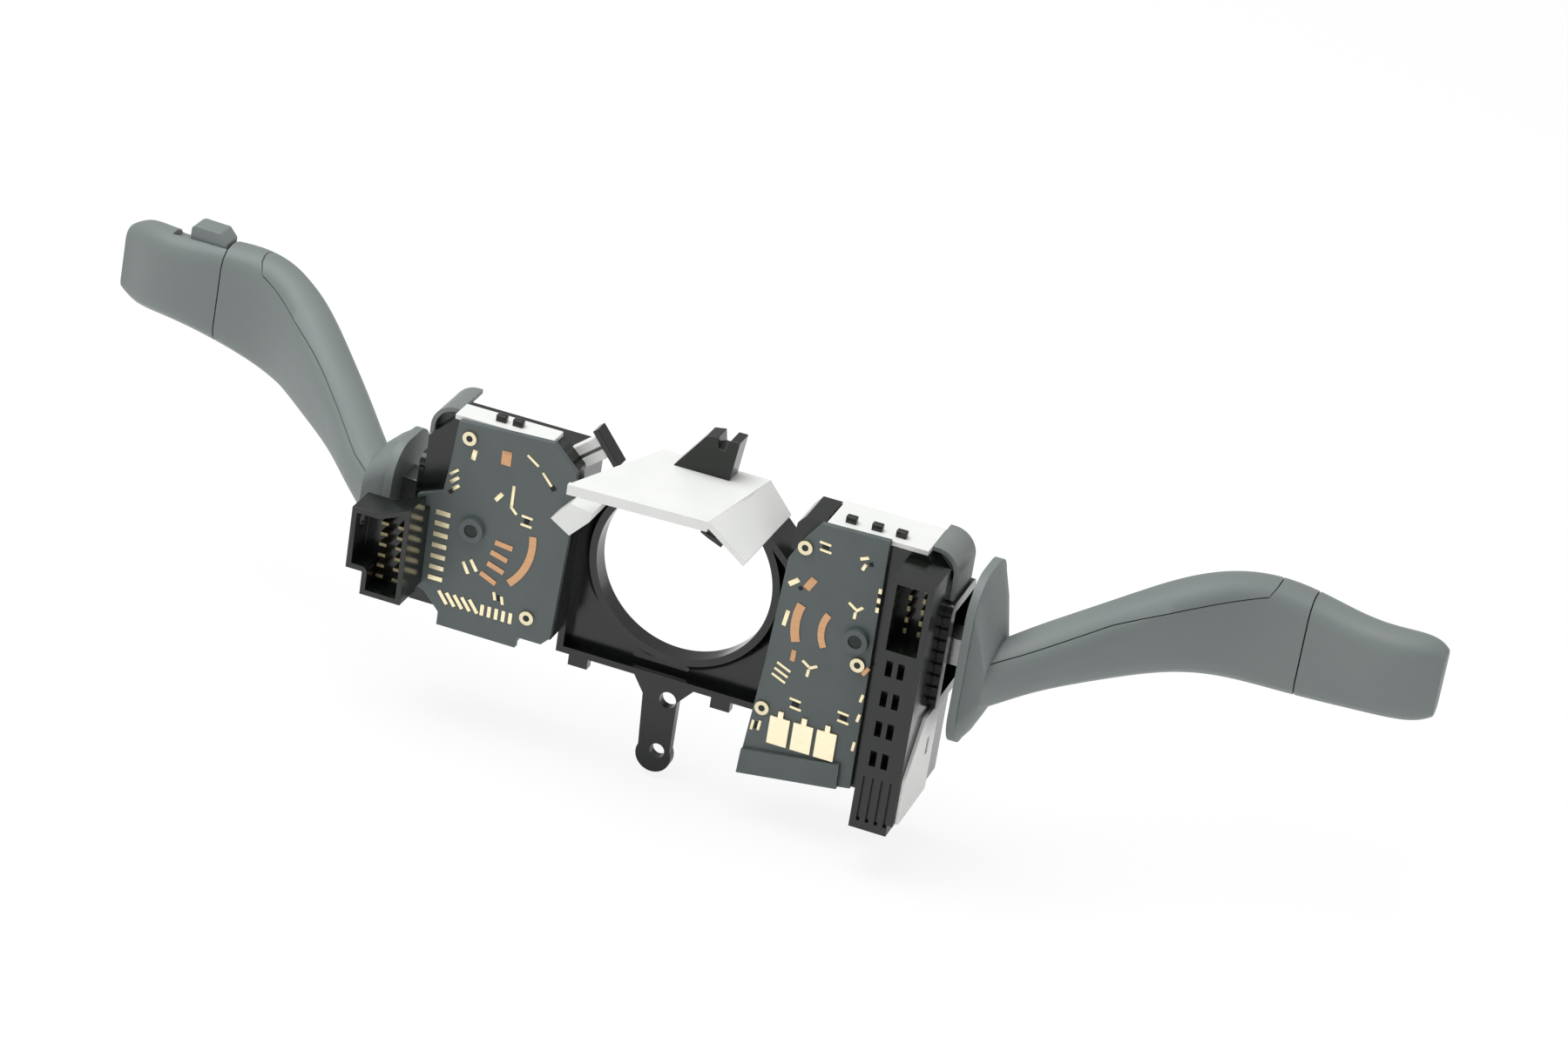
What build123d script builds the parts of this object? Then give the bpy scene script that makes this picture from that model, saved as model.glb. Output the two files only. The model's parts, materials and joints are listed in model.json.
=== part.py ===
from build123d import *
from math import cos, radians, sin
import os

# Combination stalk switch of a car: a carrier that clamps round the steering column,
# a wiper switch on its left and a turn signal switch on its right, each with its stalk.
# Seen from the side that faces away from the driver: X to the right, Y towards the
# driver, Z up. The origin is the middle of the column bore at its front face.
# All sizes are millimetres.

os.makedirs("parts", exist_ok=True)

# Driving dimensions: column carrier
bore_radius = 26.0
bore_length = 6.0
ring_wall = 2.2
carrier_half_width = 34.0
carrier_shoulder_half_width = 30.0
carrier_bottom = -35.0
carrier_depth = 15.0
carrier_wall = 2.0
carrier_web = 2.0
carrier_shoulder_low = 2.0
carrier_shoulder_high = 12.0
arm_length = 28.0
arm_half_width = 4.7
arm_thickness = 3.0
arm_hole_radius = 2.2
arm_window_radius = 2.5
foot_width = 5.8
foot_height = 3.2

# Driving dimensions: roof guard over the bore
roof_height = 29.5
roof_sheet = 1.6
roof_front = -25.0
roof_back = 12.0
roof_lip_drop = 3.2
roof_slope_run = 9.5
roof_slope_drop = 8.5

# Driving dimensions: the two switch housings
plate_front = -8.0
plate_thickness = 2.0
housing_back = 18.0
housing_wall = 2.0
housing_top = 29.4
cover_thickness = 1.6
part_gap = 0.3
screw_head_radius = 2.1
screw_bore_radius = 1.0
screw_head_height = 0.8
track_thickness = 0.25

# Driving dimensions: levers, the same for both sides unless a side says otherwise
lever_mid = 6.0
hub_radius = 5.5
pivot_pin_radius = 2.0
pin_clearance = 0.05
lever_thickness = 11.0
fork_slot = 8.6
ear_thickness = 3.2
stalk_hinge = 70.0
hinge_pin_radius = 1.5
tang_thickness = 8.0
tang_width = 9.0
nose_reach = 12.0
track_reach = 16.5
plunger_radius = 2.3
plunger_length = 8.0
spring_wire = 0.5
spring_turns = 4
spring_length = 4.0
flange_thickness = 2.4
dome_length = 6.0
dome_wall = 1.8

# Driving dimensions: stalks
stalk_wall = 1.8
parting_gap = 0.35
knob_length = 12.0
knob_travel = 5.0

# One row for each side: the sign of X, the pivot in X and Z, how far out the dome's
# flange stands, half its depth and half its height, how many degrees the stalk is raised
# where it rests, where its end cap begins, and the line where its two shells meet.
# The sections of a stalk give distance out, depth, height, heading towards the driver,
# width and height of the section.
sides = {
    "left": {
        "sign": -1,
        "pivot": (-60.4, -1.2),
        "flange": 86.5,
        "dome": (13.0, 14.0),
        "rise": 2.0,
        "seam": 170.5,
        "parting": [
            (60.0, -6.0),
            (102.4, 3.6),
            (118.9, 9.2),
            (130.5, 14.0),
            (147.1, 20.0),
            (157.5, 24.1),
        ],
        "sections": [
            (87.0, -5.1, -4.3, 44.5, 15.0, 12.5),
            (95.7, 4.2, -2.4, 44.5, 15.0, 13.5),
            (108.2, 17.6, 0.4, 44.5, 15.0, 16.0),
            (120.6, 31.3, 2.6, 44.5, 15.0, 21.0),
            (139.9, 49.3, 7.4, 35.0, 14.5, 30.0),
            (152.5, 57.2, 10.0, 15.0, 14.0, 34.0),
            (167.8, 58.8, 12.4, 3.0, 14.0, 32.0),
            (198.5, 59.5, 13.4, 0.0, 11.5, 25.4),
            (203.8, 59.5, 13.4, 0.0, 7.0, 20.0),
        ],
    },
    "right": {
        "sign": 1,
        "pivot": (53.9, -0.3),
        "flange": 83.0,
        "dome": (15.0, 26.0),
        "rise": 0.0,
        "seam": 165.0,
        "parting": [(60.0, -6.0), (97.8, 4.9), (117.2, 11.3), (137.0, 15.5), (153.4, 19.0)],
        "sections": [
            (86.0, -5.4, -4.0, 44.5, 15.0, 15.0),
            (94.8, 4.2, -1.5, 44.5, 15.0, 16.2),
            (107.0, 17.6, 1.8, 44.5, 15.0, 18.7),
            (119.8, 31.3, 4.3, 44.5, 15.0, 22.3),
            (141.1, 49.5, 6.7, 35.0, 14.5, 30.0),
            (155.2, 55.8, 5.7, 15.0, 14.0, 32.2),
            (167.8, 57.2, 4.4, 3.0, 14.0, 30.3),
            (199.4, 58.3, 3.6, 0.0, 11.5, 24.6),
            (204.0, 58.3, 3.6, 0.0, 7.0, 20.0),
        ],
    },
}

# Places that follow from the driving dimensions
plate_back = plate_front + plate_thickness
housing_front = plate_back
carrier_front = 0.0
ring_radius = bore_radius + ring_wall


def across(y):
    """Plane across the column at depth y. Its sketches extrude towards the viewer."""
    return Plane.XZ.offset(-y)


def level(z):
    """Level plane at height z."""
    return Plane.XY.offset(z)


def turned(side, point):
    """Turn a point about the side's pivot to the angle at which the stalk rests."""
    pivot = Vector(side["pivot"][0], 0, side["pivot"][1])
    return (point - pivot).rotate(Axis.Y, side["rise"]) + pivot


def lever_point(side, out, depth, height):
    """A point of a lever: out from the column's middle, depth in Y, height in Z."""
    return turned(side, Vector(side["sign"] * out, depth, height))


def lever_plane(side, out, depth, height, heading=0.0):
    """Plane across a lever. Its normal points outwards and turns towards the driver by heading."""
    bearing = radians(heading)
    along = Vector(side["sign"] * cos(bearing), sin(bearing), 0).rotate(Axis.Y, side["rise"])
    deep = Vector(-side["sign"] * sin(bearing), cos(bearing), 0).rotate(Axis.Y, side["rise"])
    return Plane(origin=lever_point(side, out, depth, height), x_dir=deep, z_dir=along)


def rocker_plane(side, depth):
    """Plane through the pivot, X outwards and Y up, for what turns on the pivot."""
    outwards = Vector(side["sign"], 0, 0).rotate(Axis.Y, side["rise"])
    origin = Vector(side["pivot"][0], depth, side["pivot"][1])
    return Plane(origin=origin, x_dir=outwards, z_dir=Vector(0, -side["sign"], 0))


def upright_plane(side, out, depth):
    """Plane square to a lever's own upright direction, for the pin of the stalk."""
    up = Vector(0, 0, 1).rotate(Axis.Y, side["rise"])
    return Plane(origin=lever_point(side, out, depth, side["pivot"][1]), x_dir=Vector(0, 1, 0), z_dir=up)


# Column carrier: a pan with side walls, a bore ring, a web between them, two feet and an
# arm that is screwed to the column.
carrier_top = roof_height - roof_sheet
carrier_top_half_width = 14.0
carrier_cheek = 22.7
carrier_cheek_height = 18.9
carrier_outline = [
    (-carrier_half_width, carrier_bottom),
    (carrier_half_width, carrier_bottom),
    (carrier_half_width, carrier_shoulder_low),
    (carrier_shoulder_half_width, carrier_shoulder_high),
    (carrier_cheek, carrier_cheek_height),
    (carrier_top_half_width, carrier_top),
    (-carrier_top_half_width, carrier_top),
    (-carrier_cheek, carrier_cheek_height),
    (-carrier_shoulder_half_width, carrier_shoulder_high),
    (-carrier_half_width, carrier_shoulder_low),
]
web_front = bore_length - carrier_web
cove_radius = 3.0
foot_places = (-27.0, 16.2)
arm_centre = -1.0
arm_root_half_width = 9.0
arm_hole_drop = 21.6
arm_window_drop = 5.0
slot_length = 17.0
slot_height = 1.6
slot_drop = 4.2

with BuildPart() as front_recess:
    with BuildSketch(across(web_front)):
        with BuildLine():
            Polyline(*carrier_outline, close=True)
        make_face()
        offset(amount=-carrier_wall, mode=Mode.REPLACE)
    extrude(amount=web_front + 1)
    with BuildSketch(Plane.XY):
        with BuildLine():
            Polyline(
                (ring_radius + cove_radius, web_front),
                (0, web_front),
                (0, -1),
                (ring_radius, -1),
                (ring_radius, web_front - cove_radius),
            )
            CenterArc((ring_radius + cove_radius, web_front - cove_radius), cove_radius, 90, 90)
        make_face()
    revolve(axis=Axis.Y, mode=Mode.SUBTRACT)

with BuildPart() as column_carrier:
    with BuildSketch(across(carrier_depth)):
        with BuildLine():
            Polyline(*carrier_outline, close=True)
        make_face()
    extrude(amount=carrier_depth - carrier_front)
    add(front_recess.part, mode=Mode.SUBTRACT)
    with BuildSketch(across(carrier_depth)):
        with BuildLine():
            Polyline(*carrier_outline, close=True)
        make_face()
        offset(amount=-carrier_wall, mode=Mode.REPLACE)
    extrude(amount=carrier_depth - bore_length, mode=Mode.SUBTRACT)
    with BuildSketch(across(bore_length)):
        Circle(bore_radius)
    extrude(amount=bore_length - carrier_front, mode=Mode.SUBTRACT)
    with BuildSketch(across(arm_thickness)):
        for foot in foot_places:
            with Locations((foot, carrier_bottom - foot_height / 2)):
                Rectangle(foot_width, foot_height)
        with BuildLine():
            Polyline(
                (arm_centre - arm_root_half_width, carrier_bottom),
                (arm_centre - arm_half_width - 1, carrier_bottom - arm_window_drop),
                (arm_centre - arm_half_width, carrier_bottom - arm_length + arm_half_width),
                (arm_centre + arm_half_width, carrier_bottom - arm_length + arm_half_width),
                (arm_centre + arm_half_width, carrier_bottom - arm_window_drop),
                (arm_centre + arm_root_half_width, carrier_bottom),
                close=True,
            )
        make_face()
        with Locations((arm_centre, carrier_bottom - arm_length + arm_half_width)):
            Circle(arm_half_width + 0.6)
        with Locations((arm_centre + 1, carrier_bottom - arm_hole_drop)):
            Circle(arm_hole_radius, mode=Mode.SUBTRACT)
        with Locations((arm_centre + 1.9, carrier_bottom - arm_window_drop)):
            Circle(arm_window_radius, mode=Mode.SUBTRACT)
    extrude(amount=arm_thickness - carrier_front)
    with BuildSketch(level(carrier_bottom)):
        with Locations((arm_centre - arm_half_width + 0.8, arm_thickness + 2.5)):
            Rectangle(1.6, 5.0)
    extrude(amount=-(arm_length - 2 * arm_half_width))
    with BuildSketch(across(bore_length)):
        with Locations((-4.0, carrier_bottom + slot_drop)):
            SlotOverall(slot_length, slot_height)
    extrude(amount=bore_length - carrier_front, mode=Mode.SUBTRACT)
column_carrier.part.label = "column_carrier"
export_step(column_carrier.part, "parts/column_carrier.step")

# Roof guard: a bent sheet moulding that keeps the wiring off the turning column. Its lip
# hangs down at the front, its right side slopes, and it rests on top of the carrier.
roof_left = -29.0
roof_left_back = -15.0
roof_right = 11.5
roof_right_back = 17.0
with BuildPart() as roof_guard:
    with BuildSketch(level(roof_height)):
        with BuildLine():
            Polyline(
                (roof_left, roof_front),
                (roof_right, roof_front + 2),
                (roof_right_back, roof_back),
                (roof_left_back, roof_back),
                close=True,
            )
        make_face()
    extrude(amount=-roof_sheet)
    with BuildSketch(level(roof_height)):
        with BuildLine():
            Polyline(
                (roof_left, roof_front),
                (roof_right, roof_front + 2),
                (roof_right, roof_front + 2 + roof_sheet),
                (roof_left, roof_front + roof_sheet),
                close=True,
            )
        make_face()
    extrude(amount=-roof_lip_drop)
    slope_plane_front = Plane(origin=(0, roof_front + 2, 0), x_dir=(1, 0, 0), z_dir=(0, -1, 0))
    slope_plane_back = Plane(origin=(0, roof_back, 0), x_dir=(1, 0, 0), z_dir=(0, -1, 0))
    for place, ridge, run in (
        (slope_plane_front, roof_right, roof_slope_run + 3),
        (slope_plane_back, roof_right_back, roof_slope_run - 2),
    ):
        with BuildSketch(place):
            with BuildLine():
                Polyline(
                    (ridge - 0.5, roof_height),
                    (ridge, roof_height),
                    (ridge + run, roof_height - roof_slope_drop),
                    (ridge + run - 1, roof_height - roof_slope_drop - roof_sheet),
                    (ridge - 0.5, roof_height - roof_sheet),
                    close=True,
                )
            make_face()
    loft()
roof_guard.part.label = "roof_guard"
export_step(roof_guard.part, "parts/roof_guard.step")

# Guide block: the bevelled lug between the left plate and the carrier. Its front part
# overhangs the plate and its rear part reaches back to the carrier's rim.
guide_front = -15.0
guide_inner = -31.6
with BuildPart() as guide_block:
    with BuildSketch(across(plate_front)):
        with BuildLine():
            Polyline((-35.8, 12.8), (-30.6, 18.9), (-24.0, 17.7), (-24.6, 14.9), (-29.8, 9.2), close=True)
        make_face()
    extrude(amount=plate_front - guide_front)
    with BuildSketch(across(carrier_front)):
        with BuildLine():
            Polyline(
                (guide_inner, 11.0),
                (guide_inner, 17.7),
                (-30.6, 18.9),
                (-24.0, 17.7),
                (-24.6, 14.9),
                (-29.8, 9.2),
                close=True,
            )
        make_face()
    extrude(amount=carrier_front - plate_front)
guide_block.part.label = "guide_block"
export_step(guide_block.part, "parts/guide_block.step")

# Latch hook: the small black catch under the right end of the lip. Its nose points
# outwards, so that it stays clear of the column that comes through the bore.
hook_left = roof_right - 2.3
with BuildPart() as latch_hook:
    with BuildSketch(across(roof_front + 2 + roof_sheet + 5.0)):
        with BuildLine():
            Polyline(
                (hook_left, roof_height - roof_sheet),
                (hook_left, roof_height - 4.6),
                (hook_left + 2.4, roof_height - 5.8),
                (hook_left + 6.4, roof_height - 7.4),
                (hook_left + 5.6, roof_height - 5.2),
                (hook_left + 1.8, roof_height - 4.3),
                (hook_left + 1.8, roof_height - roof_sheet),
                close=True,
            )
        make_face()
    extrude(amount=5.0)
latch_hook.part.label = "latch_hook"
export_step(latch_hook.part, "parts/latch_hook.step")

# Clip tower: the black notched post on the roof that takes the wiring clip.
tower_left = -9.0
tower_right = 7.6
tower_height = 12.0
tower_thickness = 7.0
with BuildPart() as clip_tower:
    with BuildSketch(across(roof_back - 1)):
        with BuildLine():
            Polyline(
                (tower_left, roof_height),
                (tower_left + 8.2, roof_height + tower_height - 0.6),
                (tower_left + 11.6, roof_height + tower_height),
                (tower_left + 12.2, roof_height + tower_height - 3.4),
                (tower_right - 2.2, roof_height + tower_height - 3.4),
                (tower_right - 1.4, roof_height + tower_height),
                (tower_right + 1.4, roof_height + tower_height),
                (tower_right, roof_height),
                close=True,
            )
        make_face()
    extrude(amount=tower_thickness)
    with BuildSketch(across(roof_back - 1)):
        with Locations((tower_left + 8.8, roof_height + 5.0)):
            Rectangle(4.2, 4.2)
    extrude(amount=tower_thickness - 1.6, mode=Mode.SUBTRACT)
clip_tower.part.label = "clip_tower"
export_step(clip_tower.part, "parts/clip_tower.step")

# Contact plates: grey moulded plates that close the front of each switch. They carry the
# contact tracks, a raised boss at the pivot and the countersunk plate screws.
left_plate_outline = [
    (-68.4, 30.2), (-40.0, 31.6), (-32.4, 24.6), (-32.0, 8.0), (-33.4, -27.4),
    (-36.0, -30.2), (-43.5, -30.2), (-43.5, -33.6), (-67.6, -33.6), (-67.6, -29.6),
    (-72.6, -24.4), (-78.0, -22.4), (-78.0, 4.6), (-70.6, 7.6), (-69.2, 19.0),
]
right_plate_outline = [
    (31.1, 18.2), (34.8, 25.4), (38.7, 30.8), (58.5, 31.4),
    (59.2, -45.6), (26.2, -50.7), (29.3, -14.9),
]
left_screws = [(-64.5, 26.1), (-41.0, -23.1)]
right_screws = [(35.5, 22.8), (55.5, -7.4), (30.7, -28.8)]
boss_radius = 3.6
boss_height = 1.6
with BuildPart() as left_contact_plate:
    with BuildSketch(across(plate_back)):
        with BuildLine():
            Polyline(*left_plate_outline, close=True)
        make_face()
    extrude(amount=plate_thickness)
    with BuildSketch(across(plate_front)):
        with Locations(sides["left"]["pivot"]):
            Circle(boss_radius)
    extrude(amount=boss_height)
    with BuildSketch(across(plate_back)):
        with Locations(*left_screws):
            Circle(screw_bore_radius)
        with Locations(sides["left"]["pivot"]):
            Circle(pivot_pin_radius)
    extrude(amount=plate_thickness + boss_height, mode=Mode.SUBTRACT)
left_contact_plate.part.label = "left_contact_plate"
export_step(left_contact_plate.part, "parts/left_contact_plate.step")

step_height = 1.2
step_top = -41.4
with BuildPart() as right_contact_plate:
    with BuildSketch(across(plate_back)):
        with BuildLine():
            Polyline(*right_plate_outline, close=True)
        make_face()
    extrude(amount=plate_thickness)
    with BuildSketch(across(plate_front)):
        with BuildLine():
            Polyline(
                (26.8, step_top - 1.4),
                (55.4, step_top + 2.6),
                (55.6, -46.4),
                (26.4, -50.5),
                close=True,
            )
        make_face()
    extrude(amount=step_height)
    with BuildSketch(across(plate_front)):
        with Locations(sides["right"]["pivot"]):
            Circle(boss_radius)
    extrude(amount=boss_height)
    with BuildSketch(across(plate_back)):
        with Locations(*right_screws):
            Circle(screw_bore_radius)
        with Locations(sides["right"]["pivot"]):
            Circle(pivot_pin_radius)
    extrude(amount=plate_thickness + boss_height, mode=Mode.SUBTRACT)
right_contact_plate.part.label = "right_contact_plate"
export_step(right_contact_plate.part, "parts/right_contact_plate.step")

# Plate screws: ring-headed screws, one group of separate solids on each plate.
screw_length = 6.0
for name, places in (("left_plate_screws", left_screws), ("right_plate_screws", right_screws)):
    with BuildPart() as plate_screws:
        with BuildSketch(across(plate_front)):
            with Locations(*places):
                Circle(screw_head_radius)
        extrude(amount=screw_head_height)
        with BuildSketch(across(plate_front + screw_length)):
            with Locations(*places):
                Circle(screw_bore_radius)
        extrude(amount=screw_length)
        with BuildSketch(across(plate_front - screw_head_height)):
            with Locations(*places):
                RegularPolygon(screw_bore_radius, 6)
        extrude(amount=-screw_head_height, mode=Mode.SUBTRACT)
    plate_screws.part.label = name
    export_step(plate_screws.part, f"parts/{name}.step")

# Housings: black boxes behind the plates, open at the front, with a mouth in the outer
# end for the lever. The arched track of the detent plunger is part of the inner wall.
cavity_half_height = 22.0
mouth_half_height = 13.0
floor_back = housing_back - housing_wall
window_wall = 1.5
window_inset = 8.6
window_width = 9.0
window_half_height = 9.0
mouth_front = -1.0
carrier_side = carrier_half_width
track_radius = track_reach + part_gap
detent_step = 9.0
detent_radius = 0.7
housing_chamfer = 7.0
pawl_pivot = (41.0, 4.0)
pawl_stud_radius = 1.8
pawl_stud_length = 5.6
housing_rows = {
    "left": {
        "plate": left_plate_outline,
        "screws": left_screws,
        "outer": -77.5,
        "low": -29.0,
        "shelf_front": 2.0,
        "inner_chamfer": (6.7, 8.0),
    },
    "right": {
        "plate": right_plate_outline,
        "screws": right_screws,
        "outer": 76.0,
        "low": -46.0,
        "shelf_front": 10.0,
        "inner_chamfer": (5.2, 9.0),
    },
}
shelf_height = 24.0
shoulder_back = 9.0
for name, row in housing_rows.items():
    sign = sides[name]["sign"]
    pivot_x, pivot_z = sides[name]["pivot"]
    inner = sign * carrier_side
    outer = row["outer"]
    far_wall = outer - sign * housing_wall
    chamfer_run, chamfer_drop = row["inner_chamfer"]
    with BuildPart() as housing:
        with BuildSketch(across(carrier_front)):
            with BuildLine():
                Polyline(*row["plate"], close=True)
            make_face()
            offset(amount=-0.5, mode=Mode.REPLACE)
        extrude(amount=carrier_front - housing_front)
        with BuildSketch(across(housing_back)):
            with BuildLine():
                Polyline(
                    (inner, row["low"]),
                    (outer, row["low"]),
                    (outer, housing_top - housing_chamfer),
                    (outer - sign * housing_chamfer, housing_top),
                    (inner + sign * chamfer_run, housing_top),
                    (inner, housing_top - chamfer_drop),
                    close=True,
                )
            make_face()
        extrude(amount=housing_back - housing_front)
        with BuildSketch(across(carrier_front)):
            with Locations(((inner + outer) / 2, housing_top + cover_thickness)):
                Rectangle(2 * abs(outer - inner), 2 * cover_thickness)
        extrude(amount=carrier_front - housing_front, mode=Mode.SUBTRACT)
        with BuildSketch(across(housing_back)):
            with Locations(((inner + outer) / 2, (shelf_height + housing_top) / 2)):
                Rectangle(abs(outer - inner), housing_top - shelf_height)
        extrude(amount=housing_back - row["shelf_front"], mode=Mode.SUBTRACT)
        with BuildSketch(across(floor_back)):
            with Locations(((pivot_x - sign * 6 + far_wall) / 2, pivot_z)):
                Rectangle(abs(far_wall - pivot_x) + 6, 2 * cavity_half_height)
            with Locations((pivot_x, pivot_z)):
                Circle(track_radius)
            with Locations((pivot_x, pivot_z)):
                first_notch = 90 + 90 * sign - detent_step
                with PolarLocations(track_radius, 3, first_notch, 2 * detent_step, endpoint=True):
                    Circle(detent_radius)
        extrude(amount=floor_back - housing_front - window_wall, mode=Mode.SUBTRACT)
        with BuildSketch(across(housing_front + window_wall)):
            with Locations((pivot_x - sign * window_inset, pivot_z)):
                Rectangle(window_width, 2 * window_half_height)
        extrude(amount=window_wall, mode=Mode.SUBTRACT)
        with BuildSketch(Plane.YZ.offset(far_wall)):
            with Locations(((mouth_front + floor_back) / 2, pivot_z)):
                Rectangle(floor_back - mouth_front, 2 * mouth_half_height)
        extrude(amount=sign * housing_wall, mode=Mode.SUBTRACT)
        with BuildSketch(across(floor_back + housing_wall / 2)):
            with Locations((pivot_x, pivot_z)):
                Circle(pivot_pin_radius + pin_clearance)
        extrude(amount=housing_back - housing_front, mode=Mode.SUBTRACT)
        if name == "right":
            with BuildSketch(across(shoulder_back)):
                with BuildLine():
                    Polyline(
                        (inner + chamfer_run, housing_top + 1.3),
                        (inner - 0.5, housing_top + 1.3),
                        (inner - 2.5, housing_top - 1.2),
                        (inner - 3.2, housing_top - chamfer_drop),
                        (inner, housing_top - chamfer_drop - 2),
                        (inner + chamfer_run, housing_top - chamfer_drop - 2),
                        close=True,
                    )
                make_face()
            extrude(amount=shoulder_back - housing_front)
        with BuildSketch(across(housing_front)):
            with Locations(*row["screws"]):
                Circle(screw_bore_radius)
        extrude(amount=-screw_length, mode=Mode.SUBTRACT)
        if name == "right":
            with BuildSketch(across(housing_back)):
                with Locations(pawl_pivot):
                    Circle(pawl_stud_radius)
            extrude(amount=-pawl_stud_length)
    housing.part.label = f"{name}_housing"
    export_step(housing.part, f"parts/{name}_housing.step")

# Top covers: light grey lids on the housings, with small catches at the front edge.
catch_size = 1.8
for name, catches in (("left", (-58.0, -53.0)), ("right", (45.5, 53.0, 60.0))):
    sign = sides[name]["sign"]
    row = housing_rows[name]
    cover_inner = sign * (carrier_side + row["inner_chamfer"][0] + 0.5)
    cover_outer = row["outer"] - sign * housing_chamfer
    with BuildPart() as top_cover:
        with BuildSketch(across(row["shelf_front"])):
            with Locations(((cover_inner + cover_outer) / 2, housing_top + cover_thickness / 2)):
                Rectangle(abs(cover_outer - cover_inner), cover_thickness)
        extrude(amount=row["shelf_front"] - housing_front)
        with BuildSketch(level(housing_top + cover_thickness)):
            for catch in catches:
                with Locations((catch, housing_front + 2 * catch_size)):
                    Rectangle(1.6 * catch_size, catch_size)
        extrude(amount=catch_size)
    top_cover.part.label = f"{name}_top_cover"
    export_step(top_cover.part, f"parts/{name}_top_cover.step")

# Rear lug: two light bars that stand square on the inner shoulder of the left housing,
# joined by a web behind them. A black plate closes their ends.
lug_back = 4.4
lug_thickness = 4.3
lug_length = 10.0
lug_bar = 2.8
lug_slot = 1.0
lug_web = 1.2
lug_plate_sheet = 1.8
lug_plate_length = 12.0
left_run, left_drop = housing_rows["left"]["inner_chamfer"]
shoulder_foot = Vector(-carrier_side, 0, housing_top - left_drop)
shoulder_line = Vector(-left_run, 0, left_drop).normalized()


def shoulder_plane(y):
    """Plane across the column whose X runs up the left shoulder and whose Y points into it."""
    return Plane(origin=shoulder_foot + Vector(0, y, 0), x_dir=shoulder_line, z_dir=(0, -1, 0))


with BuildPart() as rear_lug:
    with BuildSketch(shoulder_plane(lug_back)):
        for bar in (0, 1):
            with Locations((0.4 + lug_bar / 2 + bar * (lug_bar + lug_slot), -lug_length / 2)):
                Rectangle(lug_bar, lug_length)
    extrude(amount=lug_thickness)
    with BuildSketch(shoulder_plane(lug_back)):
        with Locations((0.4 + lug_bar + lug_slot / 2, -lug_length / 2)):
            Rectangle(lug_slot + 1, lug_length)
    extrude(amount=lug_web)
rear_lug.part.label = "rear_lug"
export_step(rear_lug.part, "parts/rear_lug.step")
with BuildPart() as lug_end_plate:
    with BuildSketch(shoulder_plane(lug_back + 0.6)):
        with Locations((0.4 + lug_bar + lug_slot / 2 - 0.8, -lug_length - lug_plate_sheet / 2)):
            Rectangle(lug_plate_length, lug_plate_sheet)
    extrude(amount=lug_thickness + 1.2)
lug_end_plate.part.label = "lug_end_plate"
export_step(lug_end_plate.part, "parts/lug_end_plate.step")

# Collars and guards: the ribbed collar frames the mouth where a lever comes out, and the
# guard is the rounded strip that leads round the upper corner of the housing.
collar_half_height = 16.5
collar_length = 2.2
collar_front = -5.0
collar_rib = 1.0
collar_pitch = 3.6
guard_thickness = 1.4
guard_radius = 6.5
guard_front = -2.0
guard_back = 14.0
for name, row in housing_rows.items():
    sign = sides[name]["sign"]
    pivot_z = sides[name]["pivot"][1]
    outer = row["outer"]
    with BuildPart() as lever_collar:
        with BuildSketch(Plane.YZ.offset(outer)):
            with Locations(((collar_front + floor_back + window_wall) / 2, pivot_z)):
                RectangleRounded(floor_back + window_wall - collar_front, 2 * collar_half_height, 3.0)
            with Locations(((mouth_front + floor_back) / 2, pivot_z)):
                Rectangle(floor_back - mouth_front, 2 * mouth_half_height, mode=Mode.SUBTRACT)
        extrude(amount=sign * collar_length)
        with BuildSketch(across(collar_front)):
            with Locations((outer + sign * collar_length / 2, pivot_z)):
                with GridLocations(1, collar_pitch, 1, 8):
                    Rectangle(collar_length - 0.4, collar_rib)
        extrude(amount=collar_rib - 0.1)
    lever_collar.part.label = f"{name}_lever_collar"
    export_step(lever_collar.part, f"parts/{name}_lever_collar.step")
    strip_x = outer + sign * guard_thickness / 2
    strip_z = housing_top + guard_thickness / 2
    turn = guard_radius * 0.293
    with BuildPart() as lever_guard:
        with BuildSketch(across(guard_back)):
            with BuildLine():
                FilletPolyline(
                    (outer - sign * housing_chamfer, strip_z),
                    (strip_x, strip_z),
                    (strip_x, pivot_z + collar_half_height),
                    radius=guard_radius,
                )
            trace(line_width=guard_thickness)
        extrude(amount=guard_back - guard_front)
        for rib_back in (guard_front + 4 * collar_rib, guard_back - 3 * collar_rib):
            with BuildSketch(across(rib_back)):
                with BuildLine():
                    Polyline(
                        (outer - sign * housing_chamfer, housing_top),
                        (strip_x - sign * guard_radius, strip_z),
                        (strip_x - sign * turn, strip_z - turn),
                        (strip_x, strip_z - guard_radius),
                        (outer, housing_top - housing_chamfer),
                        close=True,
                    )
                make_face()
            extrude(amount=collar_rib)
    lever_guard.part.label = f"{name}_lever_guard"
    export_step(lever_guard.part, f"parts/{name}_lever_guard.step")

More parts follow.
